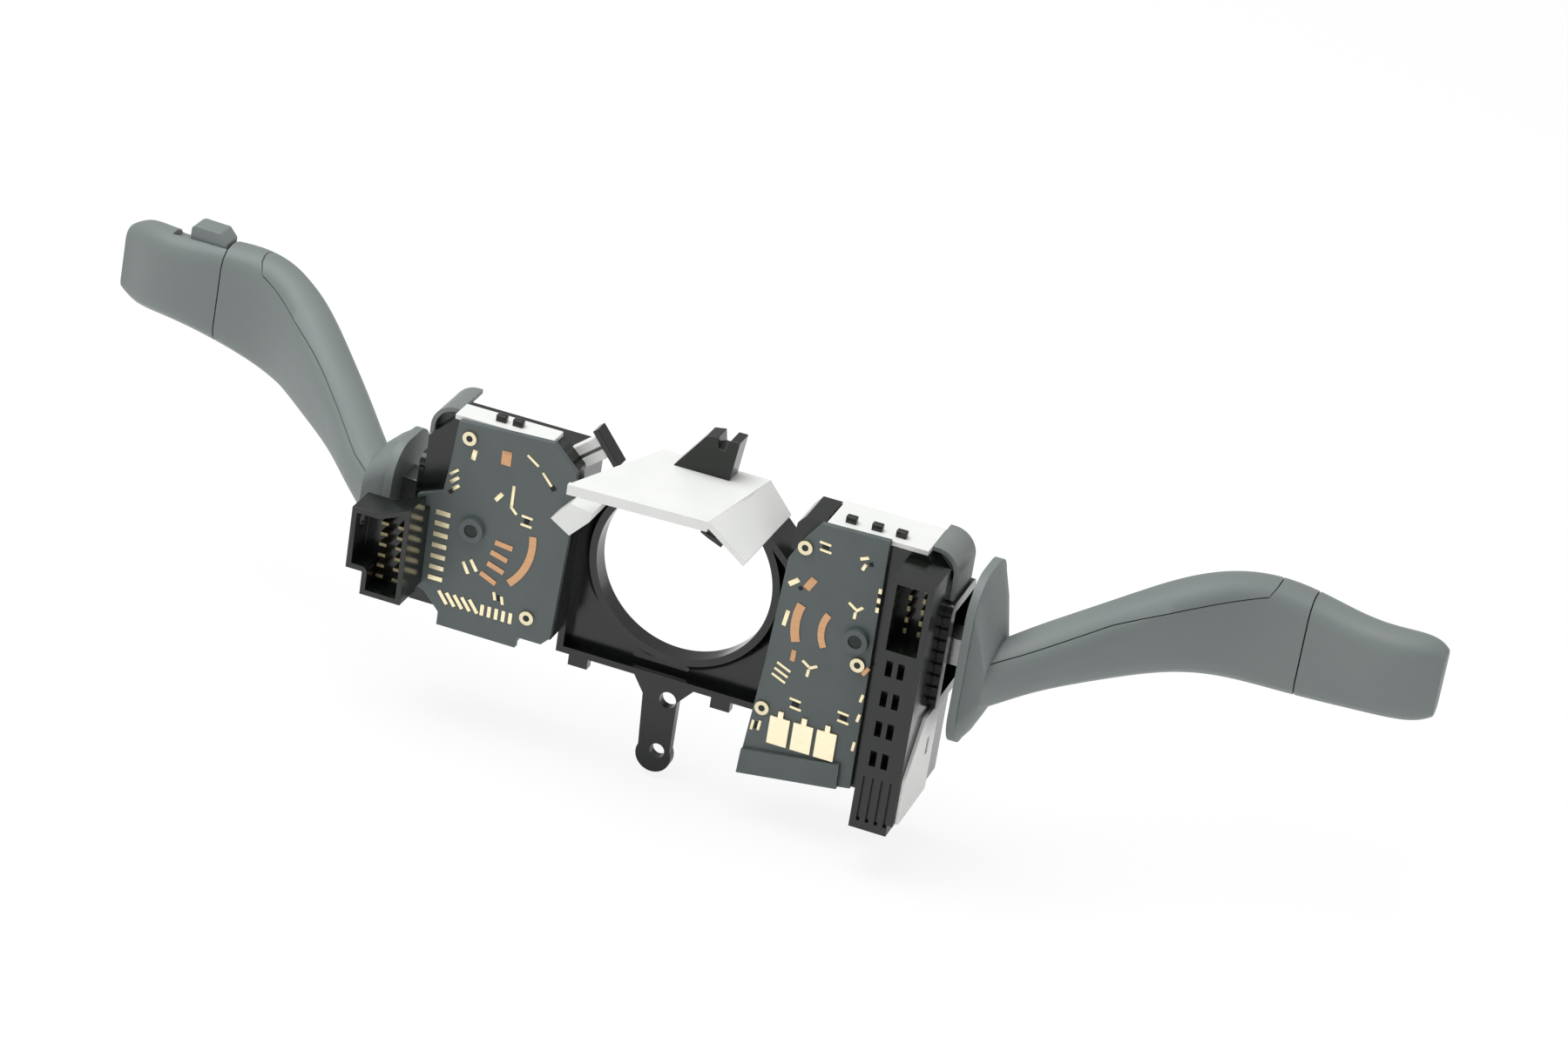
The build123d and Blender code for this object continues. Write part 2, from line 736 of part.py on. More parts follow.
# Left connector: a shroud that opens to the front, with a clip hole in its outer wall.
shroud_wall = 1.6
shroud_left = -91.0
shroud_right = -73.6
shroud_top = 3.0
shroud_bottom = -23.0
shroud_front = -23.0
shroud_back = -12.0
shroud_floor = shroud_back - 2.0
shroud_neck = -79.4
shroud_step = 5.0
shroud_outline = [
    (shroud_left, shroud_bottom + 7),
    (shroud_left + shroud_step, shroud_bottom + 7),
    (shroud_left + shroud_step, shroud_bottom),
    (shroud_right, shroud_bottom),
    (shroud_right, shroud_top + 4),
    (shroud_left + 8, shroud_top),
    (shroud_left, shroud_top),
]
with BuildPart() as left_connector:
    with BuildSketch(across(shroud_back)):
        with BuildLine():
            Polyline(*shroud_outline, close=True)
        make_face()
    extrude(amount=shroud_back - shroud_front)
    with BuildSketch(across(shroud_floor)):
        with BuildLine():
            Polyline(*shroud_outline, close=True)
        make_face()
        offset(amount=-shroud_wall, mode=Mode.REPLACE)
    extrude(amount=shroud_floor - shroud_front, mode=Mode.SUBTRACT)
    with BuildSketch(across(plate_front)):
        with Locations(((shroud_right + shroud_neck) / 2, (shroud_top + shroud_bottom) / 2)):
            Rectangle(shroud_right - shroud_neck, shroud_top - shroud_bottom - 2)
    extrude(amount=plate_front - shroud_back)
    with BuildSketch(Plane.YZ.offset(shroud_left)):
        with Locations((shroud_front + 5, shroud_top - 6)):
            Rectangle(3.4, 4.0)
    extrude(amount=shroud_wall, mode=Mode.SUBTRACT)
left_connector.part.label = "left_connector"
export_step(left_connector.part, "parts/left_connector.step")

# Right connector: a tall rail with a deep socket at its top and rows of windows below.
rail_left = 63.6
rail_right = 76.0
rail_top = 27.6
rail_bottom = -50.0
rail_front = -20.0
socket_width = 8.8
socket_height = 20.0
socket_depth = 11.0
slit_width = 1.9
slit_height = 4.8
slit_columns = 3.4
slit_pitch = 9.35
slit_middle = (68.9, -8.9)
with BuildPart() as right_connector:
    with BuildSketch(across(housing_front)):
        with BuildLine():
            Polyline(
                (rail_left, rail_bottom),
                (rail_right - 1.5, rail_bottom),
                (rail_right - 1.5, -46.5),
                (rail_right, -46.5),
                (rail_right, rail_top),
                (rail_left, rail_top),
                close=True,
            )
        make_face()
    extrude(amount=housing_front - rail_front)
    with BuildSketch(across(rail_front)):
        with Locations((rail_left + 1.8 + socket_width / 2, rail_top - 1.8 - socket_height / 2)):
            Rectangle(socket_width, socket_height)
    extrude(amount=-socket_depth, mode=Mode.SUBTRACT)
    with BuildSketch(across(rail_front)):
        with Locations(slit_middle):
            with GridLocations(slit_columns, slit_pitch, 2, 5):
                Rectangle(slit_width, slit_height)
    extrude(amount=-4.0, mode=Mode.SUBTRACT)
    with BuildSketch(across(rail_front)):
        with Locations(((rail_left + rail_right) / 2, -40.5)):
            with GridLocations(2.6, 1, 4, 1):
                Rectangle(1.0, 14.0)
    extrude(amount=-1.0, mode=Mode.SUBTRACT)
right_connector.part.label = "right_connector"
export_step(right_connector.part, "parts/right_connector.step")

# Right side cover: the light grey plate on the outer side below the lever.
side_cover_thickness = 1.2
with BuildPart() as right_side_cover:
    with BuildSketch(Plane.YZ.offset(rail_right)):
        with BuildLine():
            Polyline(
                (-19.0, -46.0),
                (5.0, -46.0),
                (5.0, -20.0),
                (1.5, -17.4),
                (-8.0, -17.4),
                (-19.0, -32.0),
                close=True,
            )
        make_face()
        with Locations((-1.5, -29.0)):
            Rectangle(2.4, 5.0, mode=Mode.SUBTRACT)
    extrude(amount=side_cover_thickness)
right_side_cover.part.label = "right_side_cover"
export_step(right_side_cover.part, "parts/right_side_cover.step")

# Terminal pins: flat copper pins that stand in the two connectors.
pin_width = 1.0
pin_reach = 3.5
left_pin_middle = ((shroud_left + shroud_right) / 2 + 2.0, (shroud_top + shroud_bottom) / 2 - 0.5)
with BuildPart() as left_terminal_pins:
    with BuildSketch(across(shroud_floor)):
        with Locations(left_pin_middle):
            with GridLocations(5.0, 3.3, 2, 6):
                Rectangle(2.2, pin_width)
    extrude(amount=pin_reach)
left_terminal_pins.part.label = "left_terminal_pins"
export_step(left_terminal_pins.part, "parts/left_terminal_pins.step")
with BuildPart() as right_terminal_pins:
    with BuildSketch(across(rail_front + socket_depth)):
        with Locations((rail_left + 1.8 + socket_width / 2, rail_top - 1.8 - socket_height / 2)):
            with GridLocations(4.0, 3.4, 2, 5):
                Rectangle(pin_width, 1.6)
    extrude(amount=pin_reach)
right_terminal_pins.part.label = "right_terminal_pins"
export_step(right_terminal_pins.part, "parts/right_terminal_pins.step")

# Contact tracks: thin copper faces on the front of the plates. The arcs are centred on
# the pivots, because the wipers of the rockers run behind them.
left_x, left_z = sides["left"]["pivot"]
with BuildPart() as left_contact_strips:
    with BuildSketch(across(plate_front)):
        with Locations((-69.6, -9.2)):
            with GridLocations(1, 3.4, 1, 7):
                Rectangle(4.4, 1.4)
        with Locations((-50.2, -24.9)):
            with GridLocations(2.15, 1, 5, 1):
                Rectangle(1.1, 3.4)
        for step in range(5):
            with Locations((-66.6 + 2.35 * step, -24.6)):
                Rectangle(1.1, 4.6, rotation=38)
    extrude(amount=track_thickness)
left_contact_strips.part.label = "left_contact_strips"
export_step(left_contact_strips.part, "parts/left_contact_strips.step")
with BuildPart() as left_contact_arc:
    with BuildSketch(across(plate_front)):
        with BuildLine():
            CenterArc((left_x, left_z), 18.2, -46, 56)
        trace(line_width=2.2)
    extrude(amount=track_thickness)
    with BuildSketch(across(plate_front)):
        slanted_strips = [((-50.6, -3.3), -6), ((-51.6, -7.0), -15), ((-52.2, -10.8), -18), ((-54.0, -14.6), -24)]
        for place, angle in slanted_strips:
            with Locations(place):
                Rectangle(5.4, 1.6, rotation=angle)
    extrude(amount=track_thickness)
left_contact_arc.part.label = "left_contact_arc"
export_step(left_contact_arc.part, "parts/left_contact_arc.step")
right_x, right_z = sides["right"]["pivot"]
with BuildPart() as right_contact_arcs:
    with BuildSketch(across(plate_front)):
        with BuildLine():
            CenterArc((right_x, right_z), 17.8, 161, 38)
        trace(line_width=2.6)
    extrude(amount=track_thickness)
    with BuildSketch(across(plate_front)):
        with BuildLine():
            CenterArc((right_x, right_z), 10.2, 150, 60)
        trace(line_width=2.0)
    extrude(amount=track_thickness)
right_contact_arcs.part.label = "right_contact_arcs"
export_step(right_contact_arcs.part, "parts/right_contact_arcs.step")
pad_thickness = 0.8
with BuildPart() as right_power_pads:
    with BuildSketch(across(plate_front)):
        with Locations((43.4, -34.5)):
            with GridLocations(6.95, 1, 3, 1):
                Rectangle(5.9, 8.6)
        with Locations((43.4, -29.2)):
            with GridLocations(6.95, 1, 3, 1):
                Rectangle(1.6, 2.0)
    extrude(amount=pad_thickness)
right_power_pads.part.label = "right_power_pads"
export_step(right_power_pads.part, "parts/right_power_pads.step")

# Pivot pins: one steel pin for each switch, held by the plate's boss and the housing's floor.
pin_front = plate_front - boss_height + 0.4
pin_back = floor_back + housing_wall / 2
with BuildPart() as pivot_pins:
    with BuildSketch(across(pin_back)):
        with Locations(sides["left"]["pivot"], sides["right"]["pivot"]):
            Circle(pivot_pin_radius)
    extrude(amount=pin_back - pin_front)
pivot_pins.part.label = "pivot_pins"
export_step(pivot_pins.part, "parts/pivot_pins.step")

# Rockers: the levers inside the housings. Each has a hub on the pivot pin, a nose with the
# bore of the detent plunger and a fork for the stalk. A pin goes upright through the fork.
ear_height = fork_slot / 2 + ear_thickness
ear_round = 4.5
fork_clearance = 1.0
hub_front = housing_front + window_wall + part_gap
hub_back = floor_back - part_gap
nose_half_height = 4.6
plunger_bore_radius = plunger_radius + pin_clearance
plunger_seat = 4.4
lever_front = lever_mid - lever_thickness / 2
leaf_sheet = 0.4
finger_gap = 3.0
finger_tip = plate_back + part_gap + leaf_sheet / 2
for name, side in sides.items():
    sign = side["sign"]
    pivot_out = abs(side["pivot"][0])
    hinge_out = stalk_hinge - pivot_out
    with BuildPart() as rocker:
        with BuildSketch(rocker_plane(side, (hub_front + hub_back) / 2)):
            Circle(hub_radius)
        extrude(amount=(hub_back - hub_front) / 2, both=True)
        with BuildSketch(rocker_plane(side, lever_mid)):
            with Locations((-nose_reach / 2, 0)):
                Rectangle(nose_reach, 2 * nose_half_height)
        extrude(amount=lever_thickness / 2, both=True)
        with BuildSketch(upright_plane(side, pivot_out, lever_mid)):
            with Locations((0, -sign * hinge_out / 2)):
                Rectangle(2 * ear_round, hinge_out)
            with Locations((0, -sign * hinge_out)):
                Circle(ear_round)
        extrude(amount=ear_height, both=True)
        with BuildSketch(rocker_plane(side, lever_mid)):
            with Locations((hinge_out - ear_round - fork_clearance + 10, 0)):
                Rectangle(20, fork_slot)
        extrude(amount=lever_thickness, both=True, mode=Mode.SUBTRACT)
        with BuildSketch(rocker_plane(side, lever_mid)):
            Circle(pivot_pin_radius + pin_clearance)
        extrude(amount=housing_back, both=True, mode=Mode.SUBTRACT)
        with BuildSketch(upright_plane(side, stalk_hinge, lever_mid)):
            Circle(hinge_pin_radius)
        extrude(amount=ear_height, both=True, mode=Mode.SUBTRACT)
        with BuildSketch(lever_plane(side, pivot_out - plunger_seat, lever_mid, side["pivot"][1])):
            Circle(plunger_bore_radius)
        extrude(amount=-nose_reach, mode=Mode.SUBTRACT)
    rocker.part.label = f"{name}_rocker"
    export_step(rocker.part, f"parts/{name}_rocker.step")

    # Hinge pin of the stalk, upright through both ears of the fork.
    with BuildPart() as hinge_pin:
        with BuildSketch(upright_plane(side, stalk_hinge, lever_mid)):
            Circle(hinge_pin_radius)
        extrude(amount=ear_height, both=True)
    hinge_pin.part.label = f"{name}_hinge_pin"
    export_step(hinge_pin.part, f"parts/{name}_hinge_pin.step")

    # Detent plunger: a round-nosed pin that drops into the notches of the track.
    plunger_back = pivot_out - track_reach + plunger_length
    with BuildPart() as plunger:
        with BuildSketch(lever_plane(side, plunger_back, lever_mid, side["pivot"][1])):
            Circle(plunger_radius)
        extrude(amount=-plunger_length)
        tip = plunger.faces().sort_by(Axis.X)[0 if sign > 0 else -1]
        fillet(tip.edges(), radius=plunger_radius - 0.3)
    plunger.part.label = f"{name}_plunger"
    export_step(plunger.part, f"parts/{name}_plunger.step")

    # Plunger spring: a short coil between the plunger and the bottom of its bore.
    coil_radius = plunger_radius - spring_wire - 0.2
    spring_back = pivot_out - plunger_seat - spring_wire / 2 - pin_clearance
    spring_pitch = (spring_back - plunger_back - spring_wire / 2 - pin_clearance) / spring_turns
    coil_centre = lever_point(side, spring_back, lever_mid, side["pivot"][1])
    coil_axis = lever_plane(side, spring_back, lever_mid, side["pivot"][1]).z_dir * -1
    with BuildPart() as plunger_spring:
        with BuildLine() as coil:
            coil_length = spring_pitch * spring_turns
            Helix(spring_pitch, coil_length, coil_radius, center=coil_centre, direction=coil_axis)
        with BuildSketch(Plane(origin=coil.line @ 0, z_dir=coil.line % 0)):
            RegularPolygon(spring_wire / 2, 6)
        sweep(is_frenet=True)
    plunger_spring.part.label = f"{name}_plunger_spring"
    export_step(plunger_spring.part, f"parts/{name}_plunger_spring.step")

    # Wiper contact: a copper leaf whose two fingers reach through the window in the
    # housing towards the back of the contact plate.
    leaf_face = lever_front - leaf_sheet / 2
    with BuildPart() as wiper_contact:
        with BuildSketch(upright_plane(side, pivot_out, 0)):
            with BuildLine():
                Polyline(
                    (leaf_face, sign * 11.4),
                    (leaf_face, sign * 6.4),
                    (finger_tip + 0.8, sign * 9.4),
                    (finger_tip, sign * 10.2),
                    (finger_tip + 0.8, sign * 11.0),
                )
            trace(line_width=leaf_sheet)
        extrude(amount=nose_half_height - 0.2, both=True)
        with BuildSketch(upright_plane(side, pivot_out, 0)):
            with Locations(((finger_tip + lever_front) / 2 - 1.5, sign * 9)):
                Rectangle(lever_front - finger_tip, 8)
        extrude(amount=finger_gap / 2, both=True, mode=Mode.SUBTRACT)
    wiper_contact.part.label = f"{name}_wiper_contact"
    export_step(wiper_contact.part, f"parts/{name}_wiper_contact.step")

# Stalks: the sections above are joined by smooth lofts. Each corner of a section is drawn
# with three flats.
hollow_end = 155.0
section_rounding = 0.42
corner_flats = 3
crown_half_depth = 11.3
crown_half_height = 11.0
crown_corner = 7.5
rod_radius = 3.0
core_clearance = 0.1
foot_margin = 6.0
cup_width = 8.0
cup_depth = 3.5
knob_stand = 3.2
rod_lap = 1.2
crown_opening = (13.0, 8.0)
parting_start = 60.0

# The areas that cut the shells run past the stalks by this much.
cut_margin = 10.0
all_sections = [row for side in sides.values() for row in side["sections"]]
stalk_far = max(row[0] for row in all_sections) + cut_margin
stalk_high = max(row[2] + row[5] for row in all_sections) + cut_margin
stalk_low = -stalk_high


def dome_end(side):
    """How far out the crown of a dome lies."""
    return side["flange"] + flange_thickness + dome_length


def stalk_path(side, out):
    """Depth and height of a stalk's middle where it runs straight out of its dome."""
    first, second = side["sections"][0], side["sections"][1]
    share = (out - first[0]) / (second[0] - first[0])
    return (first[1] + share * (second[1] - first[1]), first[2] + share * (second[2] - first[2]))


def stalk_sketch(side, row, wall):
    """Section of a stalk with rounded corners, drawn in by the wall where it is hollow."""
    out, depth, height, heading, width, tall = row
    radius = section_rounding * (min(width, tall) - 2 * wall)
    corners = []
    for quarter, (across_sign, up_sign) in enumerate(((1, 1), (-1, 1), (-1, -1), (1, -1))):
        middle = (across_sign * (width / 2 - wall - radius), up_sign * (tall / 2 - wall - radius))
        for flat in range(corner_flats + 1):
            angle = radians(90 * quarter + 90 * flat / corner_flats)
            corners.append((middle[0] + radius * cos(angle), middle[1] + radius * sin(angle)))
    with BuildSketch(lever_plane(side, out, depth, height, heading)) as section:
        with BuildLine():
            Polyline(*corners, close=True)
        make_face()
    return section.sketch


def dome_rings(side, wall):
    """Rings of a dome from its foot to its crown, drawn in by the wall for the hollow."""
    foot = side["flange"] + flange_thickness
    foot_depth, foot_height = (half - 0.5 for half in side["dome"])
    foot_corner = min(12.0, foot_depth - 4)
    crown_depth, crown_up = stalk_path(side, dome_end(side))
    rings = []
    for along, shrink in ((0.0, 0.0), (0.5, 0.42), (1.0, 1.0)):
        half_depth = foot_depth + shrink * (crown_half_depth - foot_depth)
        half_height = foot_height + shrink * (crown_half_height - foot_height)
        corner = foot_corner + shrink * (crown_corner - foot_corner)
        out = foot + along * (dome_end(side) - wall - foot)
        middle = lever_mid + shrink * (crown_depth - lever_mid)
        with BuildSketch(lever_plane(side, out, middle, shrink * crown_up)) as ring:
            RectangleRounded(2 * (half_depth - wall), 2 * (half_height - wall), corner - wall)
        rings.append(ring.sketch)
    return rings


def out_and_up(side, out, height):
    """Place on a rocker plane, whose zero is the side's pivot."""
    return (out - abs(side["pivot"][0]), height - side["pivot"][1])


def region(side, corners):
    """Area on the rocker plane at the middle of the stalk's width, for cutting shells."""
    with BuildSketch(rocker_plane(side, 30.0)) as area:
        with BuildLine():
            Polyline(*[out_and_up(side, out, height) for out, height in corners], close=True)
        make_face()
    return area.sketch


def parting(side, shift):
    """The line where the two shells of a stalk meet, moved up by shift, to its way out."""
    line = [(out, height + shift) for out, height in side["parting"]]
    return line + [(line[-1][0] + 3 - shift, line[-1][1] + 5), (line[-1][0] + 3 - shift, stalk_high)]


def stalk_hollow(side):
    """The hollow inside the two shells, which ends where the paddle begins."""
    with BuildPart() as hollow:
        loft([stalk_sketch(side, row, stalk_wall) for row in side["sections"]])
        solid_end = [
            (hollow_end, stalk_low),
            (hollow_end, stalk_high),
            (stalk_far, stalk_high),
            (stalk_far, stalk_low),
        ]
        extrude(region(side, solid_end), amount=80, both=True, mode=Mode.SUBTRACT)
    return hollow.part


cup_near = sides["left"]["seam"] + parting_gap
knob_near = cup_near + part_gap
cup_far = knob_near + knob_length + knob_travel + part_gap
paddle = sides["left"]["sections"][6]
paddle_depth = paddle[1]
stalk_top = paddle[2] + paddle[5] / 2
for name, side in sides.items():
    sign = side["sign"]
    flange = side["flange"]
    half_depth, half_height = side["dome"]
    crown = dome_end(side)
    crown_depth, crown_up = stalk_path(side, crown)

    # Stalk core: the tang on the hinge pin, its foot inside the dome and the steel rod that
    # carries the shells.
    foot_back = crown - dome_wall - part_gap
    foot_front = flange + flange_thickness + part_gap
    rod_out = foot_back - rod_lap
    rod_end = side["sections"][3]
    with BuildPart() as stalk_core:
        with BuildSketch(upright_plane(side, stalk_hinge, lever_mid)):
            Circle(tang_width / 2)
            with Locations((0, -sign * (foot_back - stalk_hinge) / 2)):
                Rectangle(tang_width, foot_back - stalk_hinge)
        extrude(amount=tang_thickness / 2, both=True)
        with BuildSketch(upright_plane(side, stalk_hinge, lever_mid)):
            foot_near = crown_depth - foot_margin - lever_mid
            foot_length = tang_width / 2 - foot_near
            foot_middle = (foot_front + foot_back) / 2 - stalk_hinge
            with Locations((foot_near + foot_length / 2, -sign * foot_middle)):
                Rectangle(foot_length, foot_back - foot_front)
        extrude(amount=tang_thickness / 2, both=True)
        with BuildSketch(upright_plane(side, stalk_hinge, lever_mid)):
            Circle(hinge_pin_radius + pin_clearance)
        extrude(amount=tang_thickness, both=True, mode=Mode.SUBTRACT)
        rod_root = lever_point(side, rod_out, *stalk_path(side, rod_out))
        rod_line = lever_point(side, *rod_end[:3]) - rod_root
        with BuildSketch(Plane(origin=rod_root, z_dir=rod_line)):
            Circle(rod_radius)
        extrude(amount=rod_line.length)
    stalk_core.part.label = f"{name}_stalk_core"
    export_step(stalk_core.part, f"parts/{name}_stalk_core.step")

    # Dome: the broad foot of a stalk that hides the mouth of the housing.
    with BuildPart() as dome:
        with BuildSketch(lever_plane(side, flange, lever_mid, 0.0)):
            RectangleRounded(2 * half_depth, 2 * half_height, min(12.5, half_depth - 3.5))
        extrude(amount=flange_thickness)
        loft(dome_rings(side, 0.0), ruled=True)
        loft(dome_rings(side, dome_wall), ruled=True, mode=Mode.SUBTRACT)
        with BuildSketch(lever_plane(side, flange, lever_mid, side["pivot"][1])):
            Rectangle(tang_width + 2 * core_clearance, tang_thickness + 2 * core_clearance)
        extrude(amount=flange_thickness, mode=Mode.SUBTRACT)
        with BuildSketch(lever_plane(side, crown, crown_depth - dome_wall / 2, crown_up)):
            Rectangle(*crown_opening)
        extrude(amount=-dome_wall, mode=Mode.SUBTRACT)
    dome.part.label = f"{name}_dome"
    export_step(dome.part, f"parts/{name}_dome.step")

    # Shells and end cap of the stalk. The upper and lower shells meet at a parting line with
    # a fine groove, and the solid end cap closes the paddle.
    seam = side["seam"]
    hollow = stalk_hollow(side)
    root = [(0, stalk_low), (0, stalk_high), (crown, stalk_high), (crown, stalk_low)]
    cap_start = seam + parting_gap
    way_out = [(stalk_far, stalk_high), (stalk_far, stalk_low)]
    cuts = {
        "upper_shell": [
            [(parting_start, stalk_low)] + parting(side, parting_gap / 2) + way_out,
        ],
        "lower_shell": [
            parting(side, -parting_gap / 2) + [(parting_start, stalk_high)],
            [(seam, stalk_low), (seam, stalk_high)] + way_out,
        ],
        "end_cap": [
            [
                (parting_start, stalk_low),
                (parting_start, stalk_high),
                (cap_start, stalk_high),
                (cap_start, stalk_low),
            ],
        ],
    }
    for shell_name, areas in cuts.items():
        with BuildPart() as shell:
            loft([stalk_sketch(side, row, 0.0) for row in side["sections"]])
            add(hollow, mode=Mode.SUBTRACT)
            for corners in areas + [root]:
                extrude(region(side, corners), amount=80, both=True, mode=Mode.SUBTRACT)
            if name == "left":
                with BuildSketch(lever_plane(side, cup_near, paddle_depth, stalk_top)):
                    Rectangle(cup_width, 2 * cup_depth)
                extrude(amount=cup_far - cup_near, mode=Mode.SUBTRACT)
        shell.part.label = f"{name}_{shell_name}"
        export_step(shell.part, f"parts/{name}_{shell_name}.step")

# Thumb slider: the small ramped knob that runs in the cup on top of the left paddle.
left = sides["left"]
with BuildPart() as thumb_slider:
    with BuildSketch(lever_plane(left, knob_near, paddle_depth, stalk_top - cup_depth / 2 + pin_clearance)):
        Rectangle(cup_width - 2 * part_gap, cup_depth - 2 * pin_clearance)
    extrude(amount=knob_length)
    with BuildSketch(rocker_plane(left, paddle_depth)) as ramp:
        with BuildLine():
            Polyline(
                *[
                    out_and_up(left, knob_near + along, stalk_top + up)
                    for along, up in (
                        (0, -0.6),
                        (0, 0.4),
                        (2.6, knob_stand),
                        (knob_length - 1.2, knob_stand),
                        (knob_length, knob_stand - 1.0),
                        (knob_length, -0.6),
                    )
                ],
                close=True,
            )
        make_face()
    extrude(amount=cup_width / 2 - part_gap, both=True)
thumb_slider.part.label = "thumb_slider"
export_step(thumb_slider.part, "parts/thumb_slider.step")

# Cancel pawl: the sprung finger behind the right housing that a cam on the steering shaft
# knocks to return the turn signal. A clip keeps it on its stud.
pawl_front = housing_back + part_gap
pawl_thickness = 4.0
pawl_radius = 4.2
pawl_tip = 30.5
pawl_tip_radius = 1.6
pawl_back = pawl_front + pawl_thickness
with BuildPart() as cancel_pawl:
    with BuildSketch(across(pawl_back)):
        with BuildLine():
            Polyline(
                (pawl_pivot[0], pawl_pivot[1] + pawl_radius - 0.6),
                (pawl_tip, pawl_pivot[1] + pawl_tip_radius),
                (pawl_tip, pawl_pivot[1] - pawl_tip_radius),
                (pawl_pivot[0], pawl_pivot[1] - pawl_radius + 0.6),
                close=True,
            )
        make_face()
        with Locations(pawl_pivot):
            Circle(pawl_radius)
        with Locations((pawl_tip, pawl_pivot[1])):
            Circle(pawl_tip_radius)
        with Locations(pawl_pivot):
            Circle(pawl_stud_radius + pin_clearance, mode=Mode.SUBTRACT)
    extrude(amount=pawl_thickness)
cancel_pawl.part.label = "cancel_pawl"
export_step(cancel_pawl.part, "parts/cancel_pawl.step")
clip_sheet = 0.6
with BuildPart() as pawl_clip:
    with BuildSketch(across(pawl_back + part_gap + clip_sheet)):
        with Locations(pawl_pivot):
            Circle(pawl_stud_radius + 1.4)
            Circle(pawl_stud_radius, mode=Mode.SUBTRACT)
    extrude(amount=clip_sheet)
pawl_clip.part.label = "pawl_clip"
export_step(pawl_clip.part, "parts/pawl_clip.step")
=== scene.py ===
import json
import math

import bmesh
import bpy
from mathutils import Matrix, Quaternion, Vector

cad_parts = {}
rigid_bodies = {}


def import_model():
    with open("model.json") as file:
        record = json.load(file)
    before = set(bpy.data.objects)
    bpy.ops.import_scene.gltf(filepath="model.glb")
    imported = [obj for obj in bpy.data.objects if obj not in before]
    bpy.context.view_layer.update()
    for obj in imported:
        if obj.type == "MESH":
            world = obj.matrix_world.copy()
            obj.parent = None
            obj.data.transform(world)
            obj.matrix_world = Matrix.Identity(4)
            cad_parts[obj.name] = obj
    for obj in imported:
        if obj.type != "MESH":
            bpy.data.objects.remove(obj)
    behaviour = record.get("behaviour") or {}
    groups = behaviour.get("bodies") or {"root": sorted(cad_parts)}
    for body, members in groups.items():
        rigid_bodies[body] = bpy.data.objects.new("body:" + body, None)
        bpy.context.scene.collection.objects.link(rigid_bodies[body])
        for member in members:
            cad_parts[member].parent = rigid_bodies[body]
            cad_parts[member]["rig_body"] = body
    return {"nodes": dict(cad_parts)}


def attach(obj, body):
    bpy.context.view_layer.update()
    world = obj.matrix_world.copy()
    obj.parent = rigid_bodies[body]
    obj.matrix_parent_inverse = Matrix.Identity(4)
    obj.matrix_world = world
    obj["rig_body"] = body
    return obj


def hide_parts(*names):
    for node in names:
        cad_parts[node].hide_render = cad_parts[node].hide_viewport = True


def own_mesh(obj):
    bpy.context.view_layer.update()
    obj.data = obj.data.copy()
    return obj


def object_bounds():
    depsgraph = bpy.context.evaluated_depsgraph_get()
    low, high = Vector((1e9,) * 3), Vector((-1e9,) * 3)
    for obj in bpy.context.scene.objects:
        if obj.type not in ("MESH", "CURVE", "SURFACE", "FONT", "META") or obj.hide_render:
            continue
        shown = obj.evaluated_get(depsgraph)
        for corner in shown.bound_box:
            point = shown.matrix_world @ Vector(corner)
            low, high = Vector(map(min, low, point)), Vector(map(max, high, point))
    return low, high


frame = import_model()
cad_low, cad_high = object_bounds()

# Column carrier: one black moulding that clamps the whole switch round the column tube. It is
# glass-filled PBT from a polished tool: near black with a green cast and a clear but slightly
# wavy gloss on its pan and bore ring.
MM = 0.001
# Points closer than SAME_POINT are merged, and faces turned less than SAME_PLANE become one.
SAME_POINT = 0.004 * MM
SAME_PLANE = math.radians(0.6)
# A Mix node's colour sockets share their names with others, so they are found by their places.
MIX_COLOUR, MIX_SHADE, MIX_RESULT = 6, 7, 2


def srgb(code):
    """Linear colour of an sRGB hex value."""
    parts = [int(code[i:i + 2], 16) / 255 for i in (0, 2, 4)]
    linear = [c / 12.92 if c <= 0.04045 else ((c + 0.055) / 1.055) ** 2.4 for c in parts]
    return (*linear, 1.0)


def add_node(tree, kind, links=(), **settings):
    """Adds a node, sets its inputs or properties by name and links (input, source) pairs."""
    node = tree.nodes.new(kind)
    for name, value in settings.items():
        plain = name.replace("_", " ").title()
        if plain in node.inputs:
            node.inputs[plain].default_value = value
        else:
            setattr(node, name, value)
    for target, source in links:
        tree.links.new(source, node.inputs[target])
    return node


def vary(tree, pattern, colour, shade, roughness, spread):
    """Lets a pattern run the surface from colour to shade and over its spread of roughness."""
    shader = tree.nodes["Principled BSDF"]
    tint = add_node(tree, "ShaderNodeMix", [("Factor", pattern)], data_type="RGBA")
    tint.inputs[MIX_COLOUR].default_value = srgb(colour)
    tint.inputs[MIX_SHADE].default_value = srgb(shade)
    tree.links.new(tint.outputs[MIX_RESULT], shader.inputs["Base Color"])
    gloss = add_node(
        tree, "ShaderNodeMapRange", [("Value", pattern)],
        to_min=roughness - spread, to_max=roughness + spread,
    )
    tree.links.new(gloss.outputs["Result"], shader.inputs["Roughness"])


